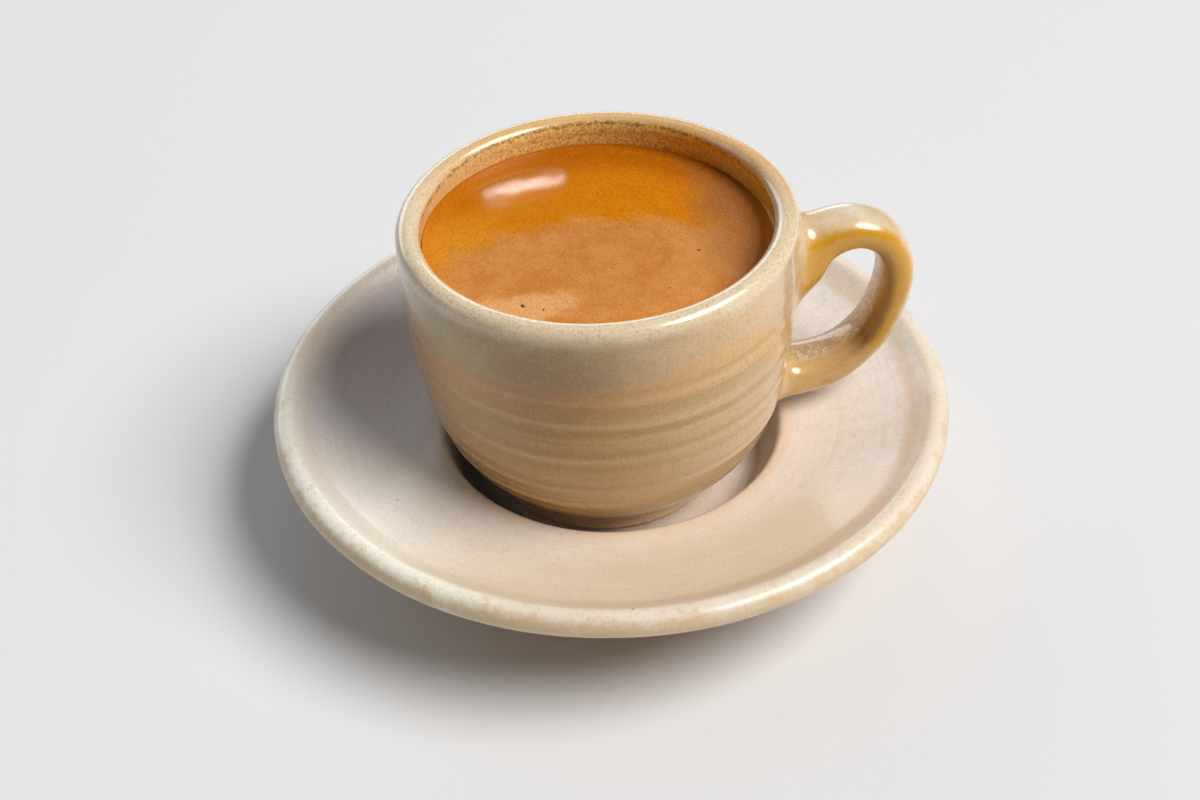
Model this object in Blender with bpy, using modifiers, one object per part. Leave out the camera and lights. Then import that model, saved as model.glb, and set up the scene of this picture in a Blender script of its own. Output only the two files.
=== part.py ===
"""Espresso in its glazed stoneware cup, standing in the well of its saucer.

Metres, +Z up. The origin is on the table, under the middle of the saucer. The handle points along +X.
"""
import math

import bpy
import bmesh
from mathutils import Vector

# Clearances and facets
GAP = 0.0003
TURN_STEPS = 60
MERGE_DISTANCE = 0.00001

# Saucer: a bead round the rim, a shallow plate and a well for the cup's foot
SAUCER_RADIUS = 0.0590
SAUCER_BEAD_RADIUS = 0.00231
SAUCER_BEAD_HEIGHT = 0.0202
BEAD_START, BEAD_END = 150, -62
WELL_FLOOR_HEIGHT = 0.0050
WELL_FLOOR_RADIUS = 0.0252
WELL_FILLET = 0.0020
WELL_LIP_RADIUS = 0.0313
WELL_LIP_HEIGHT = 0.0126
WELL_LIP_ROUNDING = 0.0019
PLATE_RISE = ((0.0380, 0.01560), (0.0450, 0.01750), (0.0500, 0.01920), (0.0526, 0.02030))
SAUCER_UNDERSIDE = ((0.0552, 0.01640), (0.0480, 0.01370), (0.0405, 0.01150), (0.0358, 0.00920), (0.0338, 0.00480))
FOOT_RING_OUTER = 0.0325
FOOT_RING_INNER = 0.0285
FOOT_RING_EDGE = 0.0006
FOOT_RING_RECESS = 0.0018

# Cup: its axis stands a little off the saucer's, away from the handle
CUP_SHIFT = -0.0012
CUP_BASE_HEIGHT = WELL_FLOOR_HEIGHT + GAP
LIP_RADIUS = 0.03108
LIP_HEIGHT = 0.05583
LIP_ROUNDING = 0.00204
BODY_OUTSIDE = ((0.0332, 0.0492), (0.0329, 0.0415), (0.0323, 0.0335), (0.0312, 0.0262), (0.0294, 0.0202),
                (0.0270, 0.0153), (0.0240, 0.0119), (0.0209, 0.0099))
CUP_FOOT_RADIUS = 0.0204
CUP_FOOT_INNER = 0.0166
CUP_FOOT_EDGE = 0.0005
CUP_FOOT_RECESS = 0.0020
BODY_INSIDE = ((0.0120, 0.0124), (0.0192, 0.0152), (0.0236, 0.0203), (0.0262, 0.0275), (0.0277, 0.0360),
               (0.0286, 0.0440), (0.0290, 0.0520))
CUP_FLOOR_HEIGHT = 0.0120

# Handle: a flattened strap between an outer rail and a rail along the finger gap
HANDLE_RAILS = (((0.0310, 0.0498), (0.0310, 0.0362)),
                ((0.0352, 0.0517), (0.0366, 0.0402)),
                ((0.0394, 0.0531), (0.0390, 0.0451)),
                ((0.0444, 0.0529), (0.0430, 0.0469)),
                ((0.0504, 0.0497), (0.0462, 0.0455)),
                ((0.0538, 0.0424), (0.0478, 0.0416)),
                ((0.0531, 0.0340), (0.0472, 0.0356)),
                ((0.0493, 0.0257), (0.0443, 0.0292)),
                ((0.0408, 0.0185), (0.0384, 0.0250)),
                ((0.0250, 0.0162), (0.0282, 0.0242)))
HANDLE_WIDTH = 0.0092
ROOT_WIDTH = 0.0117
ROOT_REACH = 0.15
HANDLE_ROUNDNESS = 2.4
HANDLE_STEPS = 4
HANDLE_SIDES = 14

# Espresso: up to the level of the crema, which climbs a little at the wall
CREMA_LEVEL = 0.0527
MENISCUS_RISE = 0.00035
MENISCUS_WIDTH = 0.0016

# Colours: linear red, green and blue, then roughness
CUP_FINISH = ((0.62, 0.44, 0.25), 0.30)
SAUCER_FINISH = ((0.68, 0.55, 0.40), 0.38)
ESPRESSO_FINISH = ((0.45, 0.19, 0.045), 0.15)


def arc(centre, radius, start, end, steps):
    """Points of a round stretch of a profile, with its angles in degrees."""
    points = []
    for i in range(steps + 1):
        angle = math.radians(start + (end - start) * i / steps)
        points.append((centre[0] + radius * math.cos(angle), centre[1] + radius * math.sin(angle)))
    return points


def spline(points, steps):
    """A smooth curve through the points."""
    path = [Vector(point) for point in points]
    slopes = [path[1] - path[0]]
    slopes += [(after - before) / 2 for before, after in zip(path[:-2], path[2:])]
    slopes.append(path[-1] - path[-2])
    curve = []
    for i in range(len(path) - 1):
        for step in range(steps):
            t = step / steps
            curve.append(path[i] * (2 * t**3 - 3 * t**2 + 1) + slopes[i] * (t**3 - 2 * t**2 + t)
                         + path[i + 1] * (3 * t**2 - 2 * t**3) + slopes[i + 1] * (t**3 - t**2))
    curve.append(path[-1])
    return [tuple(point) for point in curve]


def inner_wall(steps):
    """The cup's inside from the middle of its floor up to the lip."""
    lip_edge = (LIP_RADIUS - LIP_ROUNDING, LIP_HEIGHT)
    return spline([(0.0, CUP_FLOOR_HEIGHT), *BODY_INSIDE, lip_edge], steps)


def saucer_profile():
    bead_centre = (SAUCER_RADIUS - SAUCER_BEAD_RADIUS, SAUCER_BEAD_HEIGHT)
    fillet = arc((WELL_FLOOR_RADIUS, WELL_FLOOR_HEIGHT + WELL_FILLET), WELL_FILLET, -90, -22, 3)
    lip = arc((WELL_LIP_RADIUS, WELL_LIP_HEIGHT), WELL_LIP_ROUNDING, 160, 96, 4)
    bead = arc(bead_centre, SAUCER_BEAD_RADIUS, BEAD_START, BEAD_END, 9)
    plate = spline([lip[-1], *PLATE_RISE, bead[0]], 2)
    underside = spline([bead[-1], *SAUCER_UNDERSIDE], 1)
    foot_ring = [(FOOT_RING_OUTER, FOOT_RING_EDGE), (FOOT_RING_OUTER - FOOT_RING_EDGE, 0.0),
                 (FOOT_RING_INNER + FOOT_RING_EDGE, 0.0), (FOOT_RING_INNER, FOOT_RING_EDGE),
                 (FOOT_RING_INNER - FOOT_RING_EDGE, FOOT_RING_RECESS)]
    return [(0.0, WELL_FLOOR_HEIGHT), *fillet, *lip, *plate[1:-1], *bead, *underside[1:], *foot_ring,
            (0.0, FOOT_RING_RECESS)]


def cup_profile():
    lip = arc((LIP_RADIUS, LIP_HEIGHT), LIP_ROUNDING, 180, 0, 8)
    body = spline([lip[-1], *BODY_OUTSIDE], 2)
    foot = [(CUP_FOOT_RADIUS, body[-1][1] - CUP_FOOT_EDGE), (CUP_FOOT_RADIUS, CUP_BASE_HEIGHT + CUP_FOOT_EDGE),
            (CUP_FOOT_RADIUS - CUP_FOOT_EDGE, CUP_BASE_HEIGHT), (CUP_FOOT_INNER, CUP_BASE_HEIGHT),
            (CUP_FOOT_INNER - CUP_FOOT_EDGE, CUP_BASE_HEIGHT + CUP_FOOT_RECESS)]
    return [*inner_wall(2)[:-1], *lip, *body[1:], *foot, (0.0, CUP_BASE_HEIGHT + CUP_FOOT_RECESS)]


def drink_profile():
    """The level and its meniscus, then down along the cup's inside at the gap's distance."""
    wall = [Vector(point) for point in inner_wall(1)]
    side = []
    for before, point, after in zip(wall[:-2], wall[1:-1], wall[2:]):
        along = (after - before).normalized()
        side.append(point + Vector((-along.y, along.x)) * GAP)
    edge = side.pop().x
    level = [(0.0, CREMA_LEVEL), (edge - MENISCUS_WIDTH, CREMA_LEVEL),
             (edge - MENISCUS_WIDTH / 3, CREMA_LEVEL + MENISCUS_RISE / 3), (edge, CREMA_LEVEL + MENISCUS_RISE)]
    return [*level, *[tuple(point) for point in reversed(side)], (0.0, CUP_FLOOR_HEIGHT + GAP)]


def collection(name):
    group = bpy.data.collections.new(name)
    bpy.context.scene.collection.children.link(group)
    return group


def glaze(name, finish):
    colour, roughness = finish
    material = bpy.data.materials.new(name)
    material.use_nodes = True
    shader = material.node_tree.nodes["Principled BSDF"]
    shader.inputs["Base Color"].default_value = (*colour, 1.0)
    shader.inputs["Roughness"].default_value = roughness
    shader.inputs["Metallic"].default_value = 0.0
    return material


def add_object(name, mesh, group, material):
    mesh.materials.append(material)
    mesh.shade_smooth()
    obj = bpy.data.objects.new(name, mesh)
    group.objects.link(obj)
    return obj


def turned(name, profile, group, material):
    """A profile turned about the Z axis, from the axis round to the axis again."""
    mesh = bpy.data.meshes.new(name)
    verts = [(radius, 0.0, height) for radius, height in profile]
    edges = [(i, i + 1) for i in range(len(verts) - 1)]
    mesh.from_pydata(verts, edges, [])
    obj = add_object(name, mesh, group, material)
    screw = obj.modifiers.new("turn", "SCREW")
    screw.steps = TURN_STEPS
    screw.render_steps = TURN_STEPS
    screw.use_merge_vertices = True
    screw.merge_threshold = MERGE_DISTANCE
    return obj


def strap_ring(outer, inner, width):
    """A rounded strap's outline, across the width and from the gap's rail to the outer one."""
    middle, through = (outer + inner) / 2, (outer - inner) / 2
    power = 2 / HANDLE_ROUNDNESS
    ring = []
    for i in range(HANDLE_SIDES):
        angle = math.tau * i / HANDLE_SIDES
        across = math.copysign(abs(math.cos(angle))**power, math.cos(angle)) * width / 2
        depth = math.copysign(abs(math.sin(angle))**power, math.sin(angle))
        spot = middle + through * depth
        ring.append((spot.x, across, spot.y))
    return ring


def handle_mesh(name):
    """The strap lofted between its rails, with both ends sunk in the cup's wall."""
    outer_rail = spline([pair[0] for pair in HANDLE_RAILS], HANDLE_STEPS)
    inner_rail = spline([pair[1] for pair in HANDLE_RAILS], HANDLE_STEPS)
    mesh = bmesh.new()
    rings = []
    for i, (outer, inner) in enumerate(zip(outer_rail, inner_rail)):
        share = i / (len(outer_rail) - 1)
        flare = math.exp(-(share / ROOT_REACH)**2) + math.exp(-((1 - share) / ROOT_REACH)**2)
        width = HANDLE_WIDTH + (ROOT_WIDTH - HANDLE_WIDTH) * flare
        ring = strap_ring(Vector(outer), Vector(inner), width)
        rings.append([mesh.verts.new(spot) for spot in ring])
    for ring, following in zip(rings[:-1], rings[1:]):
        for i in range(HANDLE_SIDES):
            j = (i + 1) % HANDLE_SIDES
            mesh.faces.new((ring[i], ring[j], following[j], following[i]))
    mesh.faces.new(rings[0])
    mesh.faces.new(rings[-1])
    bmesh.ops.recalc_face_normals(mesh, faces=mesh.faces)
    result = bpy.data.meshes.new(name)
    mesh.to_mesh(result)
    mesh.free()
    return result


def clear_scene():
    for obj in list(bpy.data.objects):
        bpy.data.objects.remove(obj, do_unlink=True)


def build():
    clear_scene()
    parts = collection("espresso_cup_and_saucer")
    helpers = collection("helpers")
    cup_glaze = glaze("cup_glaze", CUP_FINISH)

    turned("saucer", saucer_profile(), parts, glaze("saucer_glaze", SAUCER_FINISH))

    cup = turned("cup", cup_profile(), parts, cup_glaze)
    cup.location.x = CUP_SHIFT
    handle = add_object("handle", handle_mesh("handle"), helpers, cup_glaze)
    handle.location.x = CUP_SHIFT
    handle.hide_render = True
    handle.display_type = "WIRE"
    join = cup.modifiers.new("join_handle", "BOOLEAN")
    join.operation = "UNION"
    join.object = handle

    espresso = turned("espresso", drink_profile(), parts, glaze("crema", ESPRESSO_FINISH))
    espresso.location.x = CUP_SHIFT


build()
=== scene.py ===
"""Looks of the espresso in its glazed stoneware cup on its saucer.

Lengths are in millimetres and become metres where a mesh is made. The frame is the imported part's: +Z up,
the origin on the table under the middle of the saucer, the handle along +X.
"""
import math

import bmesh
import bpy
import numpy as np
from mathutils import Matrix, Quaternion, Vector
from mathutils.bvhtree import BVHTree


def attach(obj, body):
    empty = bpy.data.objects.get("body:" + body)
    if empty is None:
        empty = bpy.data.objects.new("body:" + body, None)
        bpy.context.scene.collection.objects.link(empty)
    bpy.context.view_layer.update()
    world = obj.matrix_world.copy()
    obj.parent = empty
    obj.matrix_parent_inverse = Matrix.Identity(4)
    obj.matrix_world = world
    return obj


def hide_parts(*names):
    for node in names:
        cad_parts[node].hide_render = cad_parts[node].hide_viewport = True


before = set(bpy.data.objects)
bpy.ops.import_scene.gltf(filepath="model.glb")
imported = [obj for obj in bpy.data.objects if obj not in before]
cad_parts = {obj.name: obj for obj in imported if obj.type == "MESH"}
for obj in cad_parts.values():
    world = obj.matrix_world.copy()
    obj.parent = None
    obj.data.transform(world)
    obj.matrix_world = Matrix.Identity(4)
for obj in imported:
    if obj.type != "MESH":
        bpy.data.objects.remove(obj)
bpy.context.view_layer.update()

MM = 0.001
SEED = 7

# Saucer. Spots are (radius, height).
BEAD_CENTRE = (56.69, 20.2)
BEAD_RADIUS = 2.31
WELL_FLOOR = 5.0
WELL_FLOOR_RADIUS = 25.2
WELL_FILLET = 2.0
WELL_LIP = (31.3, 12.6)
WELL_LIP_ROUNDING = 1.9
PLATE_RISE = ((38.0, 15.6), (45.0, 17.5), (50.0, 19.15), (53.0, 20.55))
UNDERSIDE = ((55.2, 16.4), (48.0, 13.7), (40.5, 11.5), (35.8, 9.2), (33.8, 4.8))
FOOT_RING = ((32.5, 0.6), (31.9, 0.05), (29.1, 0.05), (28.5, 0.6), (27.9, 1.8))
SAUCER_BOTTOM = 1.8
SAUCER_SPACING = 0.42
SAUCER_COLUMNS = 300

# Cup. Spots of the body are (radius, height), those of the handle (x, height).
CUP_SHIFT = -1.2
CUP_BASE = 5.3
LIP_CENTRE = (31.08, 55.83)
LIP_ROUNDING = 2.04
BODY_OUTSIDE = ((33.2, 49.2), (32.9, 41.5), (32.3, 33.5), (31.2, 26.2), (29.4, 20.2), (27.0, 15.3), (24.0, 11.9),
                (20.9, 9.9))
BODY_INSIDE = ((12.0, 12.4), (19.2, 15.2), (23.6, 20.3), (26.2, 27.5), (27.7, 36.0), (28.6, 44.0), (29.0, 52.0))
CUP_FLOOR = 12.0
CUP_FOOT = ((20.4, 9.2), (20.4, 5.9), (19.8, 5.3), (17.2, 5.3), (16.6, 5.9), (16.1, 7.3))
CUP_BOTTOM = 7.3
HANDLE_RAILS = (((31.0, 49.8), (31.0, 36.2)),
                ((35.2, 51.7), (36.6, 40.2)),
                ((39.4, 53.1), (39.0, 45.1)),
                ((44.4, 52.9), (43.0, 46.9)),
                ((50.4, 49.7), (46.2, 45.5)),
                ((53.8, 42.4), (47.8, 41.6)),
                ((53.1, 34.0), (47.2, 35.6)),
                ((49.3, 25.7), (44.3, 29.2)),
                ((40.8, 18.5), (38.4, 25.0)),
                ((25.0, 16.2), (28.2, 24.2)))
HANDLE_WIDTH = 9.2
ROOT_WIDTH = 11.7
ROOT_REACH = 0.15
HANDLE_ROUNDNESS = 2.4
ROOT_FILLET = 4.0
HANDLE_FIELD_REACH = 9.0
ROUGH_SPACING = 0.8
ROUGH_COLUMNS = 160
VOXEL = 0.6
FIT_STEPS = 9
SMOOTHED_STEPS = (2, 4)
LONGEST_MOVE = 0.6
RING_HEIGHTS = (0.075, 0.045, 0.022)
RING_PITCHES = (4.3, 2.6, 1.55)
RING_UNIT = 0.13
LEAN = 0.0243
LEAN_LEVEL = 33

# Coffee. Spots are (x, y) on the crema.
CREMA_LEVEL = 52.7
CREMA_RADIUS = 29.0
CREMA_DEPTH = 2.0
CREMA_SHIFT = CUP_SHIFT - 0.45
CREMA_COLUMNS = 220
MENISCUS_RISE = 0.35
MENISCUS_REACH = 0.55
FINE_ROWS_FROM = 2.2
ISLAND = (-2.6, -9.3)
ISLAND_SIZE = (25.0, 14.5)
SWIRL = (2.0, -5.0)
PALE = (-16.0, -17.5)
PALE_SIZE = (9.0, 4.5)
FINES = ((-16.0, -16.95), (-12.9, -18.5), (14.1, -6.5), (7.6, -16.1))
FINES_SIZES = (0.36, 0.20, 0.22, 0.15)
FINES_SCATTERED = 26

# Camera: the photo's viewing angle, as fitted to the outlines
CAMERA_FOCAL = 54.0
CAMERA_SENSOR = 36.0
CAMERA_DISTANCE = 317.92
CAMERA_TILT = 39.283
CAMERA_ROLL = -1.424
CAMERA_TURN = -7.4
CAMERA_OFFSET = (-1.925, -1.850)
CAMERA_AIM_HEIGHT = 20.2

# Studio. A light has its azimuth and elevation in degrees in the photo's frame, where 0 is right and 90 is away,
# its width and height in metres, its power in watts, its colour and its roll in degrees.
LIGHTS = (("key", -17, 52.5, (2.30, 1.60), 98.0, (1.0, 0.985, 0.965), 0.0),
          ("low_window", 110, 15, (3.90, 1.10), 30.0, (0.88, 0.95, 1.0), 0.0),
          ("small_window", 93.0, 32.6, (0.155, 0.018), 0.18, (0.90, 1.0, 0.97), 11),
          ("left_fill", 170, 30, (1.60, 1.60), 5.6, (0.88, 0.95, 1.0), 0.0),
          ("back_fill", 100, 64, (1.50, 1.50), 4.0, (1, 1, 1), 0.0))
LIGHT_DISTANCE = 3.0
LIGHT_AIM_HEIGHT = 0.03
SKY_COLOUR = (0.84, 0.92, 1.0, 1.0)
SKY_STRENGTH = 0.075
FLOOR_REACH = 9000


# Shapes

def arc(centre, radius, start, end, steps):
    """Points of a round stretch of a profile, with its angles in degrees."""
    angle = np.radians(np.linspace(start, end, steps + 1))
    return [(centre[0] + radius * c, centre[1] + radius * s) for c, s in zip(np.cos(angle), np.sin(angle))]


def spline(points, steps):
    """A smooth curve through the points."""
    path = np.array(points, float)
    slopes = np.vstack([path[1:2] - path[:1], (path[2:] - path[:-2]) / 2, path[-1:] - path[-2:-1]])
    t = (np.arange(steps) / steps)[:, None]
    pieces = [path[i] * (2 * t**3 - 3 * t**2 + 1) + slopes[i] * (t**3 - 2 * t**2 + t)
              + path[i + 1] * (3 * t**2 - 2 * t**3) + slopes[i + 1] * (t**3 - t**2) for i in range(len(path) - 1)]
    return [tuple(point) for point in np.vstack([*pieces, path[-1:]])]


def reach_along(points):
    """The length of the line up to each of its points."""
    return np.r_[0, np.cumsum(np.linalg.norm(np.diff(points, axis=0), axis=1))]


def even(points, spacing):
    """The same line with its points an even distance apart."""
    points = np.array(points, float)
    reach = reach_along(points)
    steps = max(2, round(reach[-1] / spacing))
    at = np.linspace(0, reach[-1], steps + 1)
    return np.c_[np.interp(at, reach, points[:, 0]), np.interp(at, reach, points[:, 1])]


def saucer_outline():
    """From the middle of the well's floor over the rim bead to the middle of the underside."""
    fillet = arc((WELL_FLOOR_RADIUS, WELL_FLOOR + WELL_FILLET), WELL_FILLET, -90, -22, 12)
    lip = arc(WELL_LIP, WELL_LIP_ROUNDING, 160, 96, 12)
    bead = arc(BEAD_CENTRE, BEAD_RADIUS, 118, -62, 40)
    plate = spline([lip[-1], *PLATE_RISE, bead[0]], 10)
    underside = spline([bead[-1], *UNDERSIDE], 8)
    return [(0.0, WELL_FLOOR), *fillet, *lip, *plate[1:-1], *bead, *underside[1:], *FOOT_RING, (0.0, SAUCER_BOTTOM)]


def cup_outline():
    """From the middle of the cup's floor over the lip and down to the middle of its underside."""
    inside = spline([(0.0, CUP_FLOOR), *BODY_INSIDE, (LIP_CENTRE[0] - LIP_ROUNDING, LIP_CENTRE[1])], 10)
    lip = arc(LIP_CENTRE, LIP_ROUNDING, 180, 0, 36)
    body = spline([lip[-1], *BODY_OUTSIDE], 10)
    return [*inside[:-1], *lip, *body[1:], *CUP_FOOT, (0.0, CUP_BOTTOM)]


def strap_rings(steps, sides):
    """The handle's rings, and for each its middle and the step from the middle to the outer rail."""
    outer = np.array(spline([pair[0] for pair in HANDLE_RAILS], steps))
    inner = np.array(spline([pair[1] for pair in HANDLE_RAILS], steps))
    middle, through = (outer + inner) / 2, (outer - inner) / 2
    share = np.linspace(0, 1, len(outer))
    flare = np.exp(-(share / ROOT_REACH)**2) + np.exp(-((1 - share) / ROOT_REACH)**2)
    width = HANDLE_WIDTH + (ROOT_WIDTH - HANDLE_WIDTH) * flare
    angle = math.tau * np.arange(sides) / sides
    power = 2 / HANDLE_ROUNDNESS
    across = np.sign(np.cos(angle)) * np.abs(np.cos(angle))**power
    depth = np.sign(np.sin(angle)) * np.abs(np.sin(angle))**power
    flat = middle[:, None] + through[:, None] * depth[None, :, None]
    rings = np.stack([flat[..., 0], width[:, None] / 2 * across[None], flat[..., 1]], axis=2)
    return rings, middle, through


class TurnedField:
    """Signed distance to a turned solid and the travel along its outline, from tables over its half section."""

    def __init__(self, outline, step=0.16, margin=3.0):
        line = even(outline, 0.3)
        self.step = step
        self.low = np.array([-2 * step, line[:, 1].min() - margin])
        high = line.max(0) + margin
        self.size = np.ceil((high - self.low) / step).astype(int) + 1
        r = self.low[0] + step * np.arange(self.size[0])
        z = self.low[1] + step * np.arange(self.size[1])
        spots = np.stack(np.meshgrid(np.abs(r), z, indexing="ij"), 2).reshape(-1, 2)
        reach = reach_along(line)
        nearest = np.full(len(spots), 1e9)
        travel = np.zeros(len(spots))
        inside = np.zeros(len(spots), bool)
        for i, (a, b) in enumerate(zip(line[:-1], line[1:])):
            side = b - a
            t = np.clip(((spots - a) @ side) / (side @ side), 0, 1)
            gap = np.hypot(spots[:, 0] - a[0] - t * side[0], spots[:, 1] - a[1] - t * side[1])
            closer = gap < nearest
            nearest[closer] = gap[closer]
            travel[closer] = reach[i] + t[closer] * (reach[i + 1] - reach[i])
            crossed = (a[1] > spots[:, 1]) != (b[1] > spots[:, 1])
            if abs(side[1]) > 1e-9:
                inside ^= crossed & (spots[:, 0] < a[0] + (spots[:, 1] - a[1]) / side[1] * side[0])
        self.distance = np.where(inside, -nearest, nearest).reshape(self.size)
        top = reach[line[:, 1].argmax()]
        self.travel = (travel - top).reshape(self.size)

    def look_up(self, table, r, z):
        u = np.clip((r - self.low[0]) / self.step, 0, self.size[0] - 1.001)
        v = np.clip((z - self.low[1]) / self.step, 0, self.size[1] - 1.001)
        i, j = u.astype(int), v.astype(int)
        u, v = u - i, v - j
        return ((table[i, j] * (1 - u) + table[i + 1, j] * u) * (1 - v)
                + (table[i, j + 1] * (1 - u) + table[i + 1, j + 1] * u) * v)

    def at(self, spots):
        """Distance, gradient and travel at points in the solid's own frame."""
        r = np.hypot(spots[:, 0], spots[:, 1])
        z = spots[:, 2]
        h = self.step
        distance = self.look_up(self.distance, r, z)
        slope_r = (self.look_up(self.distance, r + h, z) - self.look_up(self.distance, r - h, z)) / (2 * h)
        slope_z = (self.look_up(self.distance, r, z + h) - self.look_up(self.distance, r, z - h)) / (2 * h)
        safe = np.maximum(r, 1e-6)
        gradient = np.c_[slope_r * spots[:, 0] / safe, slope_r * spots[:, 1] / safe, slope_z]
        return distance, gradient, self.look_up(self.travel, r, z)


class StrapField:
    """Signed distance to the handle, with the place along it and from its gap side to its outer side.

    The distance is to the side faces alone. The handle's flat ends lie inside the wall, and are only in the mesh.
    """

    def __init__(self, steps=12, sides=72):
        rings, self.middle, self.through = strap_rings(steps, sides)
        self.count, self.sides = rings.shape[:2]
        spots = rings.reshape(-1, 3)
        faces = grid_faces(self.count, self.sides)
        self.tree = BVHTree.FromPolygons([Vector(spot) for spot in spots], faces)
        ends = [tuple(range(self.sides))[::-1], tuple(range((self.count - 1) * self.sides, self.count * self.sides))]
        self.mesh = (spots, faces + ends)
        face = faces[len(faces) // 2]
        corner = spots[face[0]]
        normal = np.cross(spots[face[1]] - corner, spots[face[3]] - corner)
        middle = self.middle[len(faces) // 2 // self.sides]
        self.sign = np.sign(normal @ (corner - np.array([middle[0], 0, middle[1]])))

    def at(self, spots, reach):
        """Distance, gradient, share along and side, for points nearer than reach. Others get the reach itself."""
        distance = np.full(len(spots), float(reach))
        gradient = np.zeros((len(spots), 3))
        along = np.zeros(len(spots))
        side = np.zeros(len(spots))
        for i, spot in enumerate(spots):
            place, normal, index, gap = self.tree.find_nearest(Vector(spot), reach)
            if place is None:
                continue
            off = Vector(spot) - place
            out = normal * self.sign
            sign = 1.0 if off.dot(out) >= 0 else -1.0
            distance[i] = sign * gap
            gradient[i] = off / gap * sign if gap > 1e-3 else out
            ring = min(index // self.sides, self.count - 2)
            flat = np.array([spot[0], spot[2]])
            start, end = self.middle[ring], self.middle[ring + 1]
            step = end - start
            t = min(max(((flat - start) @ step) / (step @ step), 0.0), 1.0)
            through = self.through[ring] * (1 - t) + self.through[ring + 1] * t
            along[i] = (ring + t) / (self.count - 1)
            side[i] = (flat - start - step * t) @ through / (through @ through)
        return distance, gradient, along, side


def grid_faces(rows, columns):
    """Quads between rows of points that each close on themselves."""
    faces = []
    for i in range(rows - 1):
        for j in range(columns):
            k = (j + 1) % columns
            faces.append((i * columns + j, i * columns + k, (i + 1) * columns + k, (i + 1) * columns + j))
    return faces


def turned_mesh(line, columns):
    """Points and faces of an outline turned round the Z axis. Its first and last points lie on the axis."""
    angle = math.tau * np.arange(columns) / columns
    line = np.array(line)
    rows = line[1:-1]
    spots = np.stack([rows[:, :1] * np.cos(angle), rows[:, :1] * np.sin(angle),
                      np.repeat(rows[:, 1:], columns, axis=1)], axis=2).reshape(-1, 3)
    first, last = len(spots), len(spots) + 1
    spots = np.vstack([spots, [[0, 0, line[0, 1]], [0, 0, line[-1, 1]]]])
    faces = grid_faces(len(rows), columns)
    base = (len(rows) - 1) * columns
    for j in range(columns):
        k = (j + 1) % columns
        faces.append((first, k, j))
        faces.append((last, base + j, base + k))
    return spots, faces


def outward_mesh(name, spots, faces):
    """A mesh with its faces turned outwards."""
    mesh = bpy.data.meshes.new(name)
    mesh.from_pydata(np.asarray(spots).tolist(), [], faces)
    turned = bmesh.new()
    turned.from_mesh(mesh)
    bmesh.ops.recalc_face_normals(turned, faces=turned.faces)
    turned.to_mesh(mesh)
    turned.free()
    return mesh


def add_mesh(name, spots, faces, material, attributes=()):
    """An object from points in millimetres, with named numbers on its points for its material to read."""
    mesh = outward_mesh(name, np.asarray(spots) * MM, faces)
    mesh.shade_smooth()
    for key, values in dict(attributes).items():
        layer = mesh.attributes.new(key, "FLOAT", "POINT")
        layer.data.foreach_set("value", np.asarray(values, np.float32))
    mesh.materials.append(material)
    obj = bpy.data.objects.new(name, mesh)
    bpy.context.scene.collection.objects.link(obj)
    return obj


def remeshed(mesh, voxel):
    """Points, edges and faces of the mesh after an even voxel remesh. The mesh itself is used up."""
    holder = bpy.data.objects.new(mesh.name, mesh)
    bpy.context.scene.collection.objects.link(holder)
    remesh = holder.modifiers.new("even", "REMESH")
    remesh.mode = "VOXEL"
    remesh.voxel_size = voxel
    bpy.context.view_layer.update()
    made = bpy.data.meshes.new_from_object(holder.evaluated_get(bpy.context.evaluated_depsgraph_get()))
    bpy.data.objects.remove(holder, do_unlink=True)
    spots = np.zeros(len(made.vertices) * 3)
    made.vertices.foreach_get("co", spots)
    edges = np.zeros(len(made.edges) * 2, int)
    made.edges.foreach_get("vertices", edges)
    faces = [tuple(polygon.vertices) for polygon in made.polygons]
    bpy.data.meshes.remove(made)
    return spots.reshape(-1, 3), edges.reshape(-1, 2), faces


def vertex_normals(spots, faces):
    mesh = bpy.data.meshes.new("normals")
    mesh.from_pydata(spots.tolist(), [], faces)
    normals = np.zeros(len(spots) * 3)
    mesh.vertex_normals.foreach_get("vector", normals)
    bpy.data.meshes.remove(mesh)
    return normals.reshape(-1, 3)


def smooth_step(value, low, high):
    t = np.clip((value - low) / (high - low), 0, 1)
    return t * t * (3 - 2 * t)


def waves(spots, count, size, seed):
    """Smooth random relief between about -1 and 1: waves of about the given length in all directions."""
    rng = np.random.default_rng(seed)
    total = np.zeros(len(spots))
    for _ in range(count):
        way = rng.normal(size=3)
        way *= math.tau / (size * rng.uniform(0.7, 1.5)) / np.linalg.norm(way)
        total += np.sin(spots @ way + rng.uniform(0, math.tau))
    return total / math.sqrt(count / 2) / 1.6


# Cup

def join_field(spots, body, strap):
    """Distance and gradient of the cup, where the handle flows into the wall, and each part's own numbers."""
    d_body, g_body, travel = body.at(spots)
    near = (spots[:, 0] > 24) & (np.abs(spots[:, 1]) < 13) & (d_body > -1.6)
    near &= (d_body > -0.2) | (travel > 0)
    d_strap = np.full(len(spots), HANDLE_FIELD_REACH)
    g_strap = np.zeros((len(spots), 3))
    along = np.zeros(len(spots))
    side = np.zeros(len(spots))
    d_strap[near], g_strap[near], along[near], side[near] = strap.at(spots[near], HANDLE_FIELD_REACH)
    share = np.clip(0.5 + 0.5 * (d_body - d_strap) / ROOT_FILLET, 0, 1)
    share[travel < 0] = 0
    distance = d_body * (1 - share) + d_strap * share - ROOT_FILLET * share * (1 - share)
    gradient = g_body * (1 - share[:, None]) + g_strap * share[:, None]
    gradient /= np.maximum(np.linalg.norm(gradient, axis=1), 1e-6)[:, None]
    return distance, gradient, dict(travel=travel, strap=share, along=along, gap_side=side)


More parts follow.
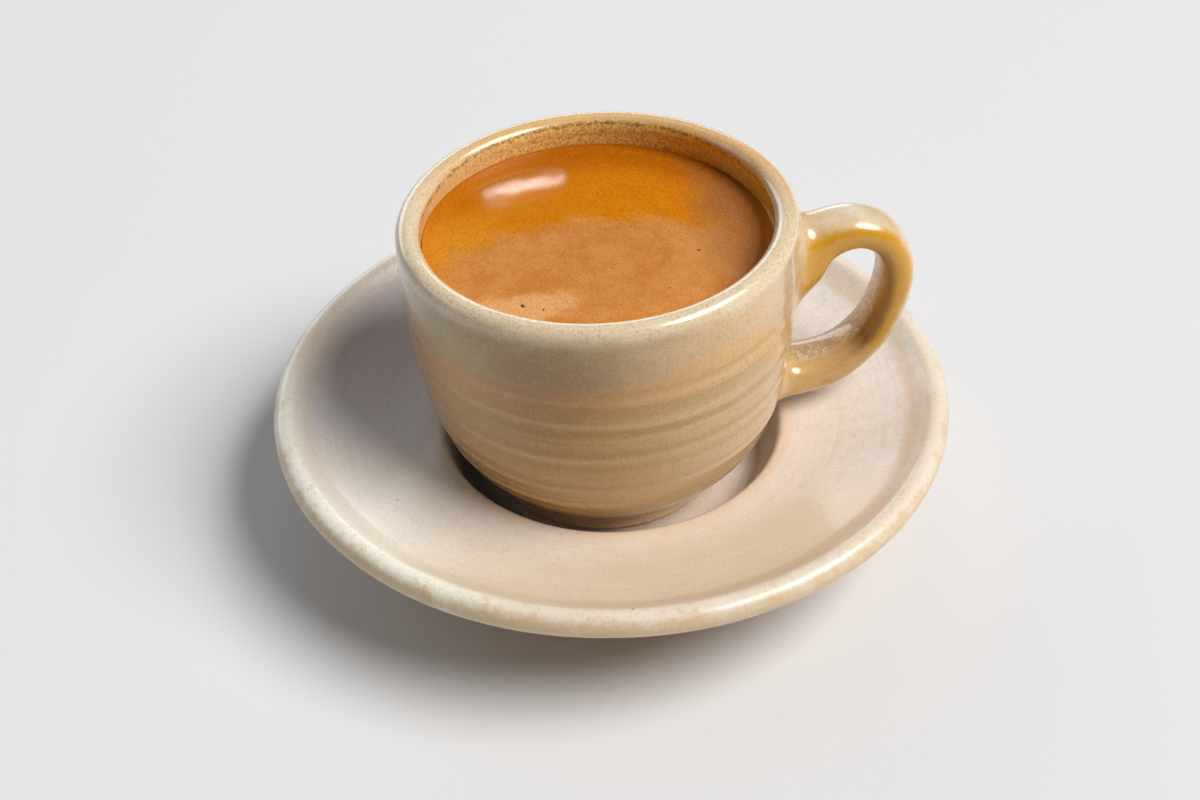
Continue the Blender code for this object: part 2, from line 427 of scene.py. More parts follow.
def fit_to_field(spots, edges, body, strap):
    """Points moved onto the cup's surface and evened out along it."""
    for step in range(FIT_STEPS):
        distance, gradient, _ = join_field(spots, body, strap)
        spots = spots - gradient * np.clip(distance, -LONGEST_MOVE, LONGEST_MOVE)[:, None]
        if step in SMOOTHED_STEPS:
            total = np.zeros_like(spots)
            count = np.zeros(len(spots))
            for a, b in ((0, 1), (1, 0)):
                np.add.at(total, edges[:, a], spots[edges[:, b]])
                np.add.at(count, edges[:, a], 1)
            spots = spots * 0.4 + total / count[:, None] * 0.6
    return spots


def make_cup(material):
    """The turned body and the handle, remeshed as one and fitted to their joined surface, then the low relief."""
    body = TurnedField(cup_outline())
    strap = StrapField()
    turned_spots, turned_faces = turned_mesh(even(cup_outline(), ROUGH_SPACING), ROUGH_COLUMNS)
    strap_spots, strap_faces = strap.mesh
    offset = len(turned_spots)
    faces = turned_faces + [tuple(i + offset for i in face) for face in strap_faces]
    rough = outward_mesh("rough_cup", np.vstack([turned_spots, strap_spots]), faces)
    spots, edges, faces = remeshed(rough, VOXEL)
    spots = fit_to_field(spots, edges, body, strap)
    _, out, numbers = join_field(spots, body, strap)
    relief, numbers["rings"] = cup_relief(spots, numbers["travel"], numbers["strap"])
    spots = lean(spots + out * relief[:, None])
    spots[:, 0] += CUP_SHIFT
    return add_mesh("cup_glazed", spots, faces, material, numbers)


def cup_relief(spots, travel, strap):
    """Height of the surface over the smooth form, and that of the rings by themselves for the glaze.

    There are the thrower's rings outside, two ridges inside, and unevenness all over.
    """
    z = spots[:, 2] + 0.35 * waves(spots, 6, 60, SEED)
    phases = (0.6 * np.sin(z * 0.21), 1.7, 0.4)
    rings = sum(height * np.sin(z * math.tau / pitch + phase)
                for height, pitch, phase in zip(RING_HEIGHTS, RING_PITCHES, phases))
    rings = rings * (0.75 + 0.45 * waves(spots, 7, 34, SEED + 7))
    outside = smooth_step(travel, 6, 15) * (1 - smooth_step(travel, 52, 56)) * (1 - strap)
    fade = 0.35 + 0.65 * smooth_step(travel, 12, 26)
    inner = -travel
    ridges = 0.05 * np.exp(-((inner - 5.3) / 0.45)**2) + 0.06 * np.exp(-((inner - 7.4) / 0.5)**2)
    uneven = 0.10 * waves(spots, 9, 26, SEED + 1) * (0.4 + 0.6 * smooth_step(np.abs(travel), 2, 8))
    height = rings * outside * fade + np.where(travel < 0, ridges, 0) + uneven * 0.6
    return height, rings * outside / RING_UNIT


def lean(spots):
    """The rim stands a little higher on the handle's side, and the body leans a little the other way."""
    body = 1 - smooth_step(spots[:, 0], 32, 39)
    rise = LEAN * spots[:, 0] * smooth_step(spots[:, 2], 38, 55) * body
    shift = -LEAN * (spots[:, 2] - LEAN_LEVEL) * body * smooth_step(spots[:, 2], CUP_BASE, CUP_BASE + 4)
    return spots + np.c_[shift, np.zeros(len(spots)), rise]


# Saucer

def make_saucer(material):
    """The turned saucer, a little uneven on top, with faint turning rings on its plate."""
    line = even(saucer_outline(), SAUCER_SPACING)
    spots, faces = turned_mesh(line, SAUCER_COLUMNS)
    r = np.hypot(spots[:, 0], spots[:, 1])
    top = smooth_step(spots[:, 2], 4.0, 6.0) * (r > 0)
    turned = np.c_[r * 3, spots[:, 0] * 0.1, spots[:, 1] * 0.1]
    relief = 0.05 * waves(spots, 9, 30, SEED + 2) + 0.012 * waves(turned, 9, 6, 3)
    plate = smooth_step(r, 33, 36) * (1 - smooth_step(r, 52, 54))
    rings = 0.006 * np.sin(r * math.tau / 1.9 + 0.8 * np.sin(r * 0.4)) * plate
    out = vertex_normals(spots, faces)
    spots = spots + out * ((relief + rings) * top)[:, None]
    reach = reach_along(line)
    bead_end = reach[line[:, 0].argmax()]
    travel = np.r_[np.repeat(reach[1:-1], SAUCER_COLUMNS), reach[0], reach[-1]] - bead_end
    return add_mesh("saucer_glazed", spots, faces, material, dict(radius=r, travel=travel))


# Espresso

def make_crema(material):
    """The crema's disc, which rises where it meets the wall and swells a very little."""
    edge = CREMA_RADIUS - FINE_ROWS_FROM
    r = np.r_[np.linspace(0, edge, 70), CREMA_RADIUS - FINE_ROWS_FROM * (1 - np.linspace(0, 1, 14)[1:])]
    rise = MENISCUS_RISE * np.exp(-((CREMA_RADIUS - r) / MENISCUS_REACH))
    bottom = CREMA_LEVEL - CREMA_DEPTH
    line = [*zip(r, CREMA_LEVEL + rise), (CREMA_RADIUS, bottom), (0.0, bottom)]
    spots, faces = turned_mesh(line, CREMA_COLUMNS)
    reach = np.hypot(spots[:, 0], spots[:, 1])
    upper = (spots[:, 2] > CREMA_LEVEL - 0.5) & (reach < CREMA_RADIUS - 0.4)
    swell = 0.006 * waves(spots, 12, 16, SEED + 4) + 0.0012 * waves(spots, 12, 4, SEED + 5)
    spots[:, 2] += np.where(upper, swell * (1 - smooth_step(reach, 22, 28)), 0)
    spots[:, 0] += CREMA_SHIFT
    return add_mesh("crema", spots, faces, material, dict(radius=reach))


def make_fines(material):
    """Fine coffee grounds that lie on the crema, as small rough flakes."""
    rng = np.random.default_rng(SEED + 6)
    count = FINES_SCATTERED
    scattered = zip(rng.uniform(3, 24, count), rng.uniform(0, math.tau, count))
    places = [*FINES, *[(r * math.cos(a), r * math.sin(a)) for r, a in scattered]]
    sizes = [*FINES_SIZES, *rng.uniform(0.06, 0.13, count)]
    spots, faces = [], []
    for (x, y), size in zip(places, sizes):
        flake = bmesh.new()
        bmesh.ops.create_icosphere(flake, subdivisions=2, radius=1.0)
        offset = len(spots)
        turn = rng.uniform(0, math.tau)
        cos, sin = math.cos(turn), math.sin(turn)
        for vertex in flake.verts:
            rough = size * rng.uniform(0.75, 1.15)
            long, short = vertex.co.x * rough * 1.35, vertex.co.y * rough * 0.85
            spots.append((x + long * cos - short * sin, y + long * sin + short * cos,
                          CREMA_LEVEL + 0.02 + vertex.co.z * rough * 0.35))
        faces += [tuple(vertex.index + offset for vertex in face.verts) for face in flake.faces]
        flake.free()
    return add_mesh("coffee_fines", spots, faces, material)


# Materials

class Finish:
    """A node material, built step by step. Each method returns the socket that carries its result."""

    sockets = {"colour": "Base Color", "roughness": "Roughness", "normal": "Normal", "coat": "Coat Weight",
               "coat_roughness": "Coat Roughness", "ior": "IOR", "specular": "Specular IOR Level"}

    def __init__(self, name):
        self.material = bpy.data.materials.new(name)
        self.material.use_nodes = True
        self.tree = self.material.node_tree
        self.shader = self.tree.nodes["Principled BSDF"]
        place = self.node("ShaderNodeTexCoord").outputs["Object"]
        self.place = self.node("ShaderNodeVectorMath", {0: place, 3: 1 / MM}, operation="SCALE").outputs[0]
        self.x, self.y, _ = self.node("ShaderNodeSeparateXYZ", {0: self.place}).outputs

    def node(self, kind, inputs=None, **settings):
        made = self.tree.nodes.new(kind)
        for key, value in settings.items():
            setattr(made, key, value)
        for key, value in (inputs or {}).items():
            self.feed(made.inputs[key], value)
        return made

    def feed(self, socket, value):
        if isinstance(value, bpy.types.NodeSocket):
            self.tree.links.new(value, socket)
        else:
            socket.default_value = value

    def number(self, name):
        """A number that the mesh carries on its points."""
        return self.node("ShaderNodeAttribute", attribute_name=name).outputs["Fac"]

    def math(self, operation, a, b=0.0):
        return self.node("ShaderNodeMath", {0: a, 1: b}, operation=operation).outputs[0]

    def times(self, *values):
        result = values[0]
        for value in values[1:]:
            result = self.math("MULTIPLY", result, value)
        return result

    def sum(self, *values):
        result = values[0]
        for value in values[1:]:
            result = self.math("ADD", result, value)
        return result

    def join(self, x, y, z):
        return self.node("ShaderNodeCombineXYZ", {0: x, 1: y, 2: z}).outputs[0]

    def scaled(self, x, y, z):
        """The place on the object, stretched along its axes."""
        return self.node("ShaderNodeVectorMath", {0: self.place, 1: (x, y, z)}, operation="MULTIPLY").outputs[0]

    def off(self, spot, size=(1.0, 1.0)):
        """Distance in plan from a spot, as a multiple of the half sizes."""
        x = self.times(self.math("SUBTRACT", self.x, spot[0]), 1 / size[0])
        y = self.times(self.math("SUBTRACT", self.y, spot[1]), 1 / size[1])
        return self.node("ShaderNodeVectorMath", {0: self.join(x, y, 0.0)}, operation="LENGTH").outputs[1]

    def noise(self, size, detail=2.0, rough=0.5, source=None, offset=0.0):
        inputs = {"Vector": source or self.place, "Scale": 1 / size, "Detail": detail, "Roughness": rough, "W": offset}
        return self.node("ShaderNodeTexNoise", inputs, noise_dimensions="4D").outputs["Fac"]

    def cells(self, size):
        """Distance to the middle of the nearest cell."""
        return self.node("ShaderNodeTexVoronoi", {"Vector": self.place, "Scale": 1 / size}).outputs["Distance"]

    def spread(self, noise, reach):
        """Noise moved to lie about zero, and made to reach about half the given length either way."""
        return self.times(self.math("SUBTRACT", noise, 0.5), reach)

    def ramp(self, value, low, high, start=0.0, end=1.0):
        """Smoothly from start to end as the value goes from low to high, and level beyond."""
        inputs = {0: value, 1: low, 2: high, 3: start, 4: end}
        return self.node("ShaderNodeMapRange", inputs, interpolation_type="SMOOTHSTEP").outputs[0]

    def band(self, value, middle, width):
        """One near the middle, falling to nothing a width away on both sides."""
        return self.ramp(self.math("ABSOLUTE", self.math("SUBTRACT", value, middle)), width, 0.0)

    def mix(self, share, a, b):
        return self.node("ShaderNodeMix", {0: share, 6: a, 7: b}, data_type="RGBA").outputs[2]

    def over(self, colour, other, *shares):
        """The colour with another over it, as strongly as the product of the shares."""
        return self.mix(self.times(*shares), colour, other)

    def bump(self, height, strength, distance):
        inputs = {"Strength": strength, "Distance": distance * MM, "Height": height}
        return self.node("ShaderNodeBump", inputs).outputs[0]

    def set(self, **values):
        for key, value in values.items():
            self.feed(self.shader.inputs[self.sockets[key]], value)
        return self.material


def tone(red, green, blue):
    """A colour as it shows on a screen, in linear light."""
    values = [value / 255 for value in (red, green, blue)]
    return (*[v / 12.92 if v <= 0.04045 else ((v + 0.055) / 1.055)**2.4 for v in values], 1.0)


# Colours. A pair is the two ends of a mix, by mottle, by grain or from the left of the cup to its right. On the cup's
# outside the mixes from left to right are partly the glaze and partly painted light and shade.
CREAM = tone(242, 224, 194), tone(232, 206, 168)
TOASTED = tone(241, 195, 129), tone(229, 176, 106)
VEIL = tone(164, 133, 82), tone(218, 191, 151)
VEIL_PALE = tone(180, 151, 98), tone(230, 208, 172)
PEACH = tone(194, 138, 74), tone(232, 184, 124)
TAN_LEFT = tone(196, 153, 84), tone(184, 140, 72)
TAN_RIGHT = tone(224, 194, 150), tone(212, 180, 134)
LOW_LEFT_PAINTED_LIGHT = tone(250, 214, 146), tone(238, 200, 130)
LOW_RIGHT = tone(240, 212, 164), tone(228, 198, 148)
CORE_SHADE = tone(142, 99, 44)
RING_DARK = tone(160, 120, 70)
RING_PALE = tone(240, 208, 156)
FOOT = tone(244, 208, 160), tone(232, 194, 144)
FOOT_LINE = tone(150, 104, 50)

INSIDE_LEFT = tone(248, 210, 146), tone(230, 182, 114)
INSIDE_BACK = tone(255, 224, 132), tone(232, 160, 70)
INSIDE_RIGHT = tone(255, 196, 34), tone(246, 160, 18)
LIP_LINE = tone(122, 72, 24)
RIDGE = tone(222, 186, 132)

HANDLE_TOP = tone(242, 230, 212), tone(230, 204, 164)
HANDLE_ROOT = tone(212, 176, 126)
HANDLE_BEND = tone(228, 190, 132)
HANDLE_FLANK = tone(222, 182, 122)
AMBER = tone(232, 174, 34), tone(206, 142, 14)
AMBER_LOW = tone(132, 84, 8)
AMBER_LINE = tone(146, 98, 20)
AMBER_STREAK = tone(214, 150, 52)
GAP = tone(204, 170, 122), tone(238, 218, 186)
GAP_LOW = tone(236, 188, 116)

CUP_SPECK = tone(134, 98, 56)
CUP_GRAIN = tone(166, 128, 82)
CUP_GRAIN_PALE = tone(240, 216, 176)

PLATE = tone(247, 236, 225), tone(237, 224, 210)
PLATE_RIGHT = tone(246, 240, 236)
PLATE_MOTTLE = tone(226, 208, 190)
PLATE_LEFT_PAINTED_LIGHT = tone(252, 243, 230)
PLATE_PAINTED_COOL_REFLECTION = tone(236, 231, 236)
PLATE_FRONT = tone(238, 218, 188), tone(228, 203, 168)
TURNING_MARK = tone(208, 186, 164)
VALLEY = tone(222, 190, 150)
BEAD = tone(246, 235, 220), tone(238, 222, 200)
BEAD_LEFT_PAINTED_LIGHT = tone(255, 252, 236)
BEAD_WORN = tone(226, 188, 134)
BEAD_OUTSIDE = tone(226, 196, 154)
UNDER_GLAZE = tone(190, 160, 124)
WELL_EDGE = tone(240, 208, 172)
WELL_SHADE = tone(74, 48, 28)
PLATE_GRAIN = tone(196, 170, 144)
PLATE_GRAIN_PALE = tone(250, 242, 232)
PLATE_SPECK = tone(120, 88, 56)

CREMA = tone(226, 138, 6), tone(210, 118, 2)
CREMA_BACK = tone(180, 96, 4)
CREMA_LEFT = tone(232, 156, 46)
FOAM = tone(218, 148, 80), tone(205, 130, 64)
SWIRL_LINE = tone(190, 116, 62)
PALE_FOAM = tone(238, 180, 118)
WISP = tone(228, 166, 104)
CREMA_PAINTED_SHADE_RIGHT = tone(144, 98, 68)
CREMA_EDGE = tone(166, 88, 14)
CREMA_GRAIN = tone(160, 88, 14)
CREMA_PORE = tone(236, 164, 56)
GROUNDS = tone(70, 40, 18), tone(112, 66, 28)

FLOOR = tone(236, 235, 235), tone(232, 232, 234)

# The fourth coordinate of the noises for pale grain, so that they don't follow the dark grain
PALE_GRAIN_OFFSET = 3.0


def cup_finish():
    """Reactive glaze over the whole cup, with grains and specks.

    Travel runs down the outside from the top of the lip, in millimetres, and is negative inside the cup.
    """
    f = Finish("cup_glaze")
    travel, strap = f.number("travel"), f.number("strap")
    grain = f.noise(0.45, 2.0, 0.6)
    fine = f.noise(1.1, 3.0, 0.65)
    cloud = f.noise(4.5, 3.0, 0.55)

    colour = outer_glaze(f, travel, fine, cloud)
    colour = inner_glaze(f, colour, travel, grain, fine, cloud)
    colour = f.mix(f.ramp(f.sum(strap, f.spread(cloud, 0.3)), 0.35, 0.75), colour, handle_glaze(f, grain, fine, cloud))

    dusted = f.ramp(strap, 0.5, 0.9, 1.0, 0.45)
    speck = f.ramp(f.cells(0.8), 0.17, 0.10)
    some = f.ramp(f.noise(3.0, 1.0), 0.46, 0.60)
    colour = f.over(colour, CUP_SPECK, speck, some, f.ramp(travel, 14.0, 4.0, 0.25, 0.4))
    colour = f.over(colour, CUP_GRAIN, f.ramp(grain, 0.48, 0.68), dusted, 0.42)
    pale = f.ramp(f.noise(0.38, 1.0, 0.5, offset=PALE_GRAIN_OFFSET), 0.52, 0.70)
    colour = f.over(colour, CUP_GRAIN_PALE, pale, dusted, 0.20)

    bumps = f.sum(f.noise(0.9, 3.0, 0.6), f.times(f.noise(3.2, 2.0), 1.5))
    return f.set(colour=colour, roughness=f.ramp(cloud, 0.3, 0.7, 0.24, 0.34), normal=f.bump(bumps, 0.35, 0.05),
                 coat=0.7, coat_roughness=0.07, ior=1.5)


def outer_glaze(f, travel, fine, cloud):
    """Cream at the rim, a grey veil that drains off below it, peach where the veil ends, and tan further down."""
    rings = f.number("rings")
    wide = f.noise(17.0, 2.0, 0.5, f.scaled(1, 1, 0.6))
    veil = f.noise(8.0, 3.0, 0.55, f.scaled(0.8, 0.8, 1.7))
    right = f.ramp(f.x, 15.0, 28.0)
    # Across runs from the cup's left, turned away from the light, to its right, turned towards it. The veil, peach and
    # tan are darker at the left and paler at the right: partly the glaze, partly painted shade and painted light.
    across = f.ramp(f.x, -16.0, 20.0)
    sway = f.sum(f.spread(wide, 6.0), f.spread(cloud, 4.0), f.spread(fine, 2.5), f.times(f.x, 0.10))
    depth = f.sum(travel, sway, f.times(right, -6.0))

    back = f.sum(f.y, f.times(f.x, 0.35), f.spread(wide, 16.0), f.spread(fine, 8.0))
    cream = f.mix(f.ramp(back, -6.0, 22.0, 0.0, 0.85), f.mix(cloud, *CREAM), f.mix(cloud, *TOASTED))
    grey = f.mix(f.ramp(veil, 0.42, 0.68, 0.0, 0.8), f.mix(across, *VEIL), f.mix(across, *VEIL_PALE))
    tan = f.mix(across, f.mix(cloud, *TAN_LEFT), f.mix(cloud, *TAN_RIGHT))
    # At the bottom the left end is warmer and paler: painted light, reflected up from the saucer.
    low = f.mix(across, f.mix(cloud, *LOW_LEFT_PAINTED_LIGHT), f.mix(cloud, *LOW_RIGHT))

    body = f.mix(f.ramp(depth, 14.0, 19.0), f.mix(across, *PEACH), tan)
    hung = f.ramp(f.sum(f.x, f.spread(wide, 20.0), f.spread(cloud, 8.0)), 16.0, -12.0, 0.50, 1.0)
    hung = f.math("MAXIMUM", hung, f.times(right, 0.9))
    body = f.over(body, grey, f.ramp(depth, 12.0, 9.5), hung)
    colour = f.mix(f.ramp(f.sum(travel, f.spread(cloud, 2.5)), 1.6, 5.2), cream, body)
    colour = f.mix(f.ramp(depth, 34.0, 50.0), colour, low)

    # Painted shade: a darker band down the left of the wall, where the wall turns away from the light.
    painted_core_shade = f.band(f.sum(f.x, f.times(travel, 0.12), f.spread(wide, 6.0)), -13.0, 15.0)
    colour = f.over(colour, CORE_SHADE, painted_core_shade, f.ramp(travel, 34.0, 18.0), f.ramp(travel, 3.0, 10.0), 0.60)
    ringed = f.ramp(depth, 8.0, 20.0)
    colour = f.over(colour, RING_DARK, f.ramp(rings, 0.2, -0.8), ringed, f.ramp(travel, 50.0, 38.0, 0.4, 1.0), 0.42)
    colour = f.over(colour, RING_PALE, f.ramp(rings, 0.2, 0.9), ringed, 0.22)
    colour = f.mix(f.ramp(travel, 51.6, 52.6), colour, f.mix(cloud, *FOOT))
    return f.over(colour, FOOT_LINE, f.band(travel, 51.2, 1.2), 0.6)


def inner_glaze(f, colour, travel, grain, fine, cloud):
    """Inside the lip: pale at the left, speckled at the back, deep amber at the right, with a broken dark line."""
    coarse = f.ramp(grain, 0.38, 0.62)
    left = f.ramp(f.sum(f.x, f.spread(cloud, 10.0)), -24.0, -10.0)
    right = f.ramp(f.sum(f.x, f.spread(cloud, 8.0)), 8.0, 20.0)
    inside = f.mix(left, f.mix(grain, *INSIDE_LEFT), f.mix(coarse, *INSIDE_BACK))
    inside = f.mix(right, inside, f.mix(coarse, *INSIDE_RIGHT))
    inner = f.sum(travel, f.spread(fine, 1.0), f.ramp(f.y, 10.0, 28.0, 0.0, -1.0))
    colour = f.mix(f.ramp(inner, -2.1, -3.3), colour, inside)
    broken = f.ramp(f.noise(0.8, 3.0, 0.7), 0.36, 0.62)
    colour = f.over(colour, LIP_LINE, f.band(inner, -3.1, 0.60), broken, 0.88)
    return f.over(colour, RIDGE, f.band(inner, -5.0, 0.5), 0.4)


def handle_glaze(f, grain, fine, cloud):
    """Cream on top, with amber pooled along the edge of the gap and a mottled face towards the gap.

    Side is -1 on the gap's side and 1 on the outer side. Along goes from 0 at the upper root to 1 at the lower.
    """
    side, along = f.number("gap_side"), f.number("along")
    sway = f.sum(side, f.spread(cloud, 0.6), f.spread(fine, 0.35), f.spread(grain, 0.15))
    top = f.mix(f.ramp(cloud, 0.35, 0.65), *HANDLE_TOP)
    top = f.mix(f.ramp(along, 0.26, 0.10, 0.0, 0.8), top, HANDLE_ROOT)
    top = f.mix(f.ramp(along, 0.30, 0.46, 0.0, 0.5), top, HANDLE_BEND)
    colour = f.mix(f.ramp(sway, 0.85, 0.10), top, HANDLE_FLANK)

    amber = f.over(f.mix(fine, *AMBER), AMBER_LOW, f.ramp(along, 0.62, 0.78), f.ramp(side, 0.0, -0.5))
    pool = f.band(f.sum(sway, f.ramp(along, 0.56, 0.70, -0.08, 0.40)), 0.0, 0.98)
    colour = f.over(colour, amber, f.ramp(pool, 0.0, 0.50), f.ramp(along, 0.84, 0.76, 0.12, 1.0),
                    f.ramp(along, 0.0, 0.06, 0.4, 1.0))
    line = f.band(f.sum(side, f.spread(cloud, 0.3)), -0.56, 0.40)
    colour = f.over(colour, AMBER_LINE, line, f.ramp(along, 0.34, 0.46), f.ramp(along, 0.82, 0.72), 0.8)
    streak = f.ramp(f.noise(3.0, 3.0, 0.6, f.scaled(0.5, 1.0, 1.0)), 0.52, 0.66)
    colour = f.over(colour, AMBER_STREAK, streak, f.ramp(along, 0.80, 0.88), 0.75)

    gap = f.mix(f.ramp(f.sum(grain, f.spread(fine, 0.8)), 0.46, 0.62), *GAP)
    gap = f.over(gap, GAP_LOW, f.ramp(along, 0.72, 0.86), f.ramp(cloud, 0.38, 0.60))
    return f.mix(f.ramp(f.sum(side, f.spread(grain, 0.15)), -0.84, -0.98), colour, gap)


def saucer_finish():
    """Pinkish beige glaze with fine turning marks, warmer at the front and in the valley under the rim bead.

    Travel runs down the outside from the widest part of the bead, in millimetres.
    """
    f = Finish("saucer_glaze")
    radius, travel = f.number("radius"), f.number("travel")
    cloud = f.noise(7.0, 3.0, 0.55)
    grain = f.noise(0.5, 2.0, 0.6)
    fine = f.noise(1.3, 3.0, 0.65)
    turning = f.noise(1.0, 2.0, 0.5, f.join(f.times(radius, 1.6), f.times(f.x, 0.06), f.times(f.y, 0.06)))

    rightwards = f.sum(f.x, f.spread(f.noise(20.0, 1.0), 16.0))
    forwards = f.sum(f.y, f.times(f.x, -0.10), f.spread(f.noise(22.0, 1.0), 14.0))
    colour = f.mix(f.ramp(rightwards, 24.0, 46.0, 0.0, 0.8), f.mix(cloud, *PLATE), PLATE_RIGHT)
    colour = f.over(colour, PLATE_MOTTLE, f.ramp(f.noise(2.4, 4.0, 0.7), 0.40, 0.66), 0.30)
    # Painted light: the plate turns paler towards its left, where light reaches it past the cup.
    colour = f.mix(f.ramp(f.x, -22.0, -42.0, 0.0, 0.8), colour, PLATE_LEFT_PAINTED_LIGHT)
    # Painted reflection: a cool tint on the plate at the left-back, in the cup's shadow, for bluish light reflected
    # there.
    colour = f.over(colour, PLATE_PAINTED_COOL_REFLECTION, f.ramp(f.x, -18.0, -34.0), f.ramp(f.y, -14.0, 4.0), f.ramp(radius, 57.0, 50.0))
    colour = f.over(colour, f.mix(cloud, *PLATE_FRONT), f.ramp(forwards, -22.0, -44.0), 0.7)
    colour = f.over(colour, TURNING_MARK, f.ramp(turning, 0.46, 0.74), 0.14)

    edge = f.sum(radius, f.spread(cloud, 2.4), f.spread(fine, 1.4))
    # The valley under the bead turns ochre, more towards the front right, where it faces away from the light: partly
    # the glaze gathered there, partly painted shade.
    pooled = f.sum(f.x, f.times(f.y, -0.6), f.spread(f.noise(18.0, 1.0), 30.0))
    colour = f.over(colour, VALLEY, f.band(edge, 53.0, 2.2), f.ramp(pooled, -10.0, 40.0, 0.15, 0.40))
    crest = f.ramp(edge, 54.6, 56.0)
    colour = f.mix(crest, colour, f.mix(cloud, *BEAD))
    # Painted light: the bead's crest paler at the left front, where light reaches it past the cup.
    colour = f.over(colour, BEAD_LEFT_PAINTED_LIGHT, crest, f.ramp(f.x, -18.0, -38.0), f.ramp(f.y, 24.0, 0.0), 0.9)
    colour = f.over(colour, BEAD_WORN, crest, f.ramp(fine, 0.46, 0.70), f.ramp(cloud, 0.40, 0.62), 0.5)
    colour = f.mix(f.ramp(edge, 57.6, 59.2), colour, BEAD_OUTSIDE)
    colour = f.mix(f.ramp(f.sum(travel, f.spread(cloud, 2.0)), 3.4, 4.6), colour, UNDER_GLAZE)
    colour = f.over(colour, WELL_EDGE, f.band(radius, 31.4, 1.6), 0.5)

    colour = f.over(colour, PLATE_GRAIN, f.ramp(grain, 0.48, 0.70), 0.26)
    pale = f.ramp(f.noise(0.42, 1.0, 0.5, offset=PALE_GRAIN_OFFSET), 0.52, 0.70)
    colour = f.over(colour, PLATE_GRAIN_PALE, pale, 0.16)
    speck, some = f.ramp(f.cells(6.0), 0.065, 0.035), f.ramp(f.noise(9.0, 1.0), 0.50, 0.56)
    colour = f.over(colour, PLATE_SPECK, speck, some, 0.75)
    # Painted shade: the well's floor and wall dark brown towards the left, where the cup shades them.
    well = f.band(f.sum(radius, f.spread(fine, 1.0)), 25.0, 5.0)
    colour = f.over(colour, WELL_SHADE, well, f.ramp(f.x, 10.0, -8.0), 0.9)

    bumps = f.sum(f.noise(0.8, 3.0, 0.6), f.sum(f.noise(3.0, 2.0), turning))
    return f.set(colour=colour, roughness=f.ramp(cloud, 0.3, 0.7, 0.34, 0.44), normal=f.bump(bumps, 0.3, 0.05),
                 coat=0.35, coat_roughness=0.12, ior=1.5)


def crema_finish():
    """Amber crema at the back and the left, with a paler mottled island of fine foam nearer the front."""
    f = Finish("crema")
    radius = f.number("radius")
    cloud = f.noise(5.0, 4.0, 0.6)
    wide = f.noise(11.0, 2.0, 0.5)
    grain = f.noise(0.38, 2.0, 0.6)
    fine = f.noise(1.2, 3.0, 0.6)
    island = f.sum(f.off(ISLAND, ISLAND_SIZE), f.spread(cloud, 0.55), f.spread(wide, 0.35), f.spread(fine, 0.12))
    swirl = f.sum(f.off(SWIRL), f.spread(cloud, 2.5))
    pale = f.sum(f.off(PALE, PALE_SIZE), f.spread(cloud, 1.0))

    outer = f.ramp(f.sum(radius, f.spread(wide, 4.0)), 18.0, 26.0)
    amber = f.over(f.mix(cloud, *CREMA), CREMA_BACK, outer, f.ramp(f.y, 2.0, 18.0), f.ramp(f.x, -22.0, -2.0, 0.45, 1.0))
    amber = f.over(amber, CREMA_LEFT, f.ramp(f.x, -14.0, -24.0), f.ramp(f.y, 14.0, 2.0), 0.7)
    colour = f.mix(f.ramp(island, 1.18, 0.86), amber, f.mix(f.ramp(cloud, 0.34, 0.66), *FOAM))
    colour = f.over(colour, SWIRL_LINE, f.band(swirl, 7.2, 1.3), 0.30)
    colour = f.over(colour, PALE_FOAM, f.ramp(pale, 1.15, 0.5), 0.8)
    wisp = f.band(f.sum(swirl, f.spread(wide, 3.0)), 11.0, 2.2)
    colour = f.over(colour, WISP, wisp, f.ramp(f.x, 2.0, 9.0), f.ramp(cloud, 0.36, 0.60), 0.35)
    # Painted shade and painted reflection: greyish brown along the crema's right, in the shade of the cup's right wall,
    # with a grey sheen.
    right = f.ramp(f.sum(f.x, f.spread(wide, 8.0)), 13.0, 23.0)
    colour = f.over(colour, CREMA_PAINTED_SHADE_RIGHT, right, f.ramp(radius, 28.6, 25.0, 0.2, 0.8))
    colour = f.over(colour, CREMA_EDGE, f.ramp(radius, 26.5, 28.8), f.ramp(f.x, 20.0, 4.0, 0.0, 0.35))

    colour = f.over(colour, CREMA_GRAIN, f.ramp(grain, 0.42, 0.64), f.ramp(island, 1.18, 0.86, 0.40, 0.30))
    pores = f.ramp(f.noise(0.42, 1.0, 0.5, offset=PALE_GRAIN_OFFSET), 0.50, 0.68)
    colour = f.over(colour, CREMA_PORE, pores, f.ramp(island, 1.18, 0.86, 0.16, 0.14))
    return f.set(colour=colour, roughness=f.ramp(fine, 0.3, 0.7, 0.03, 0.05),
                 normal=f.bump(f.noise(0.5, 3.0, 0.7), 0.03, 0.02), ior=1.36, specular=0.22)


def fines_finish():
    f = Finish("coffee_grounds")
    return f.set(colour=f.mix(f.noise(0.12, 2.0), *GROUNDS), roughness=0.6,
                 normal=f.bump(f.noise(0.08, 2.0), 0.5, 0.02))


def floor_finish():
    f = Finish("pale_floor")
    return f.set(colour=f.mix(f.noise(260.0, 3.0, 0.5), *FLOOR), roughness=0.6, specular=0.2)


# Stage

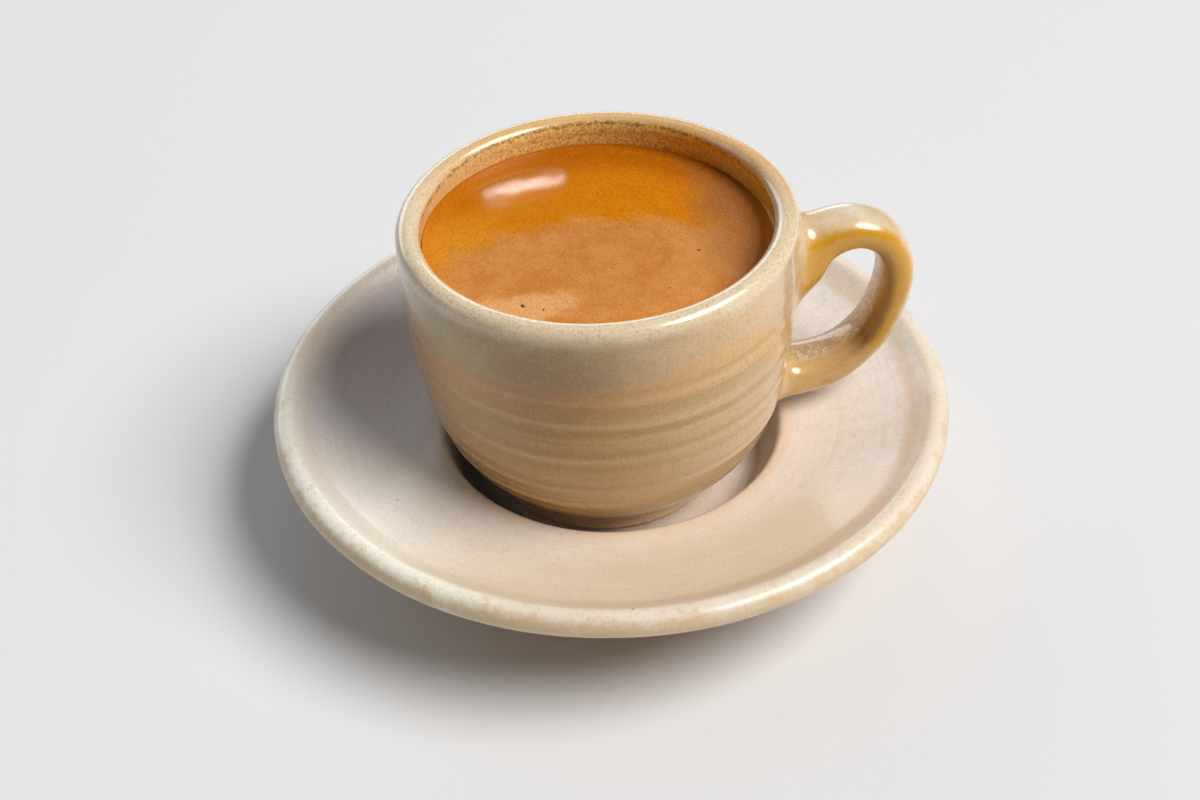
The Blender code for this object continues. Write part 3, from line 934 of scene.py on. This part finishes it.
def place_camera():
    tilt, roll = math.radians(CAMERA_TILT), math.radians(CAMERA_ROLL)
    back = Vector((0, -math.cos(tilt), math.sin(tilt)))
    right = Vector((1, 0, 0))
    up = back.cross(right)
    spot = back * CAMERA_DISTANCE + right * CAMERA_OFFSET[0] + up * CAMERA_OFFSET[1]
    across = right * math.cos(roll) + up * math.sin(roll)
    upward = up * math.cos(roll) - right * math.sin(roll)
    turn = Matrix.Rotation(math.radians(CAMERA_TURN), 3, "Z")
    axes = turn @ Matrix((across, upward, back)).transposed()
    data = bpy.data.cameras.new("camera")
    data.sensor_width = CAMERA_SENSOR
    data.lens = CAMERA_FOCAL
    data.clip_start, data.clip_end = 0.01, 20.0
    camera = bpy.data.objects.new("camera", data)
    camera.matrix_world = Matrix.Translation((turn @ spot + Vector((0, 0, CAMERA_AIM_HEIGHT))) * MM) @ axes.to_4x4()
    bpy.context.scene.collection.objects.link(camera)
    bpy.context.scene.camera = camera


def add_light(name, azimuth, elevation, size, power, colour, roll):
    """A soft oval light that points at the object."""
    azimuth, elevation = math.radians(azimuth + CAMERA_TURN), math.radians(elevation)
    way = Vector((math.cos(elevation) * math.cos(azimuth), math.cos(elevation) * math.sin(azimuth),
                  math.sin(elevation)))
    data = bpy.data.lights.new(name, "AREA")
    data.shape = "ELLIPSE"
    data.size, data.size_y = size
    data.energy = power
    data.color = colour
    light = bpy.data.objects.new(name, data)
    light.location = way * LIGHT_DISTANCE + Vector((0, 0, LIGHT_AIM_HEIGHT))
    light.rotation_mode = "QUATERNION"
    light.rotation_quaternion = (-way).to_track_quat("-Z", "Y") @ Quaternion((0, 0, 1), math.radians(roll))
    bpy.context.scene.collection.objects.link(light)


def make_stage():
    reach = FLOOR_REACH
    spots = [(-reach, -reach, 0), (reach, -reach, 0), (reach, reach, 0), (-reach, reach, 0)]
    floor = add_mesh("floor", spots, [(0, 1, 2, 3)], floor_finish())
    world = bpy.data.worlds.new("studio")
    world.use_nodes = True
    background = world.node_tree.nodes["Background"]
    background.inputs[0].default_value = SKY_COLOUR
    background.inputs[1].default_value = SKY_STRENGTH
    bpy.context.scene.world = world
    for light in LIGHTS:
        add_light(*light)
    bpy.context.scene.view_settings.view_transform = "Standard"


def main():
    cup = make_cup(cup_finish())
    saucer = make_saucer(saucer_finish())
    crema = make_crema(crema_finish())
    fines = make_fines(fines_finish())
    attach(fines, "root")
    for piece, node, slot in ((cup, "cup", "cup_glaze"), (saucer, "saucer", "saucer_glaze"),
                              (crema, "espresso", "espresso")):
        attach(piece, "root")
        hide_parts(node)
    place_camera()
    make_stage()


main()
